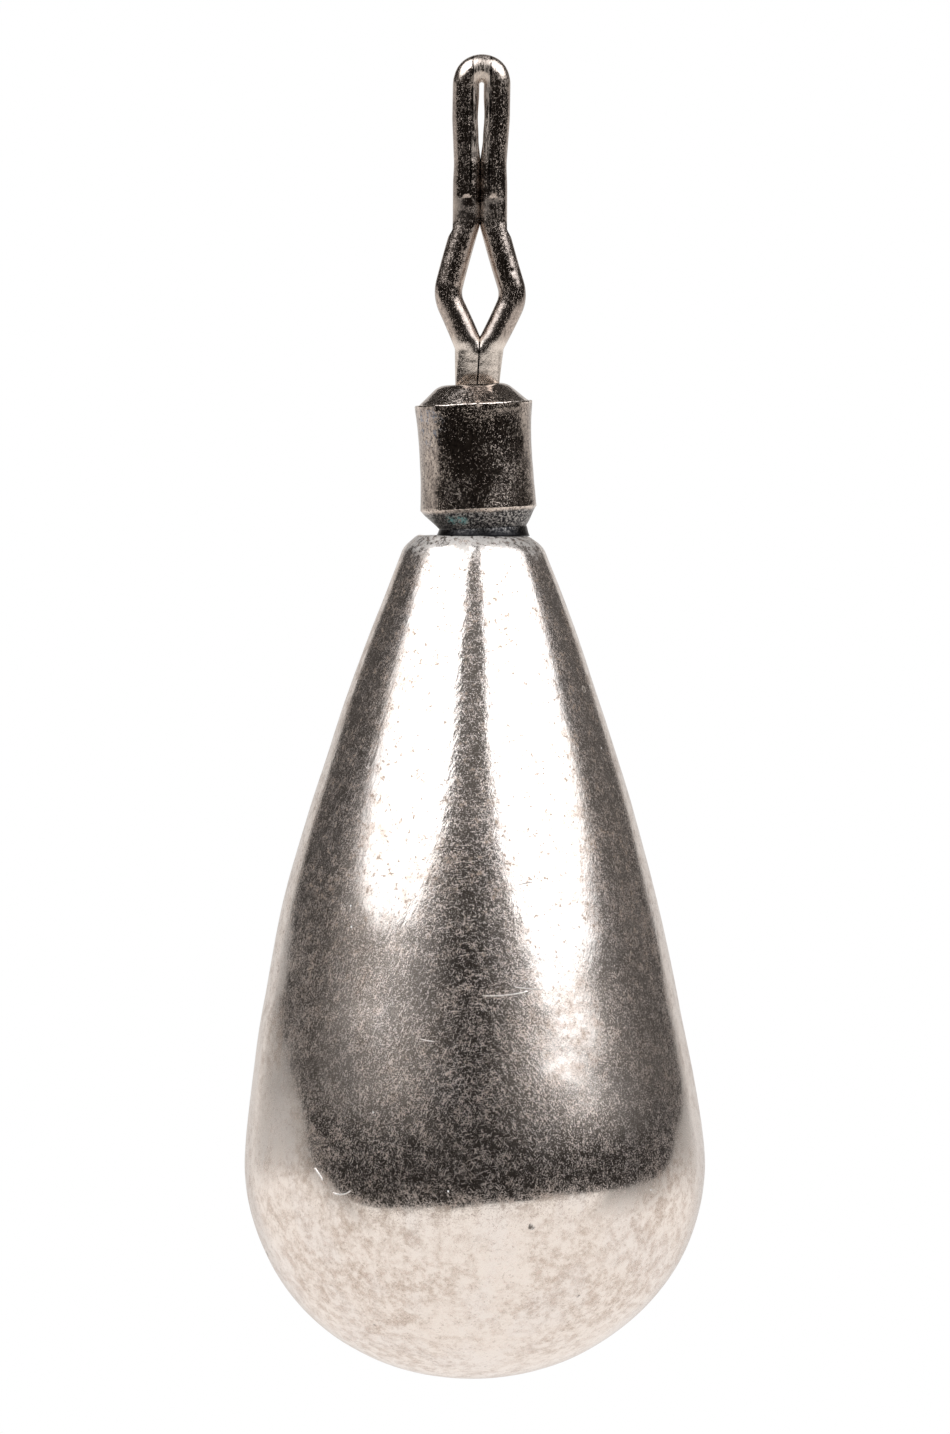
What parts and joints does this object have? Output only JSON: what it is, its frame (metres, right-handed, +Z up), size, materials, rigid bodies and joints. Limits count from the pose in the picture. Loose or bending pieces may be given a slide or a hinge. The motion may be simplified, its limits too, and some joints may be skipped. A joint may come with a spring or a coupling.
{
  "type": "fishing sinker",
  "caption": "Teardrop drop-shot sinker of cast lead on a barrel swivel, with a bent-wire clip that pinches the line in a narrow slot.",
  "frame": {"origin": "the point inside the top bend of the wire clip, where the fishing line bears in the slot", "axes": "+Z up along the line that the sinker hangs on and along the swivel's spin axis, +X across the two legs of the clip, +Y through the clip's threading eye"},
  "size_m": [0.0114, 0.0114, 0.0329],
  "materials": {
    "clip_wire": "black nickel on wire, grainy, paler where it is worn",
    "barrel_metal": "black nickel, grainy, with bright worn rims and a little verdigris at the foot",
    "anchor_wire": "plain drawn wire, hidden in the barrel and the lead",
    "cast_lead": "cast lead, burnished, with fine grain, stains, pits and scratches"
  },
  "bodies": {
    "clip": {"line_clip": "clip_wire"},
    "barrel": {"swivel_barrel": "barrel_metal"},
    "sinker": {"anchor_eye": "anchor_wire", "sinker_body": "cast_lead"}
  },
  "joints": [
    {"name": "barrel_spin", "type": "hinge", "parent": "clip", "child": "barrel", "pos_m": [0, 0, -0.0077], "axis": [0, 0, 1], "continuous": true},
    {"name": "sinker_spin", "type": "hinge", "parent": "barrel", "child": "sinker", "pos_m": [0, 0, -0.0109], "axis": [0, 0, 1], "continuous": true}
  ]
}
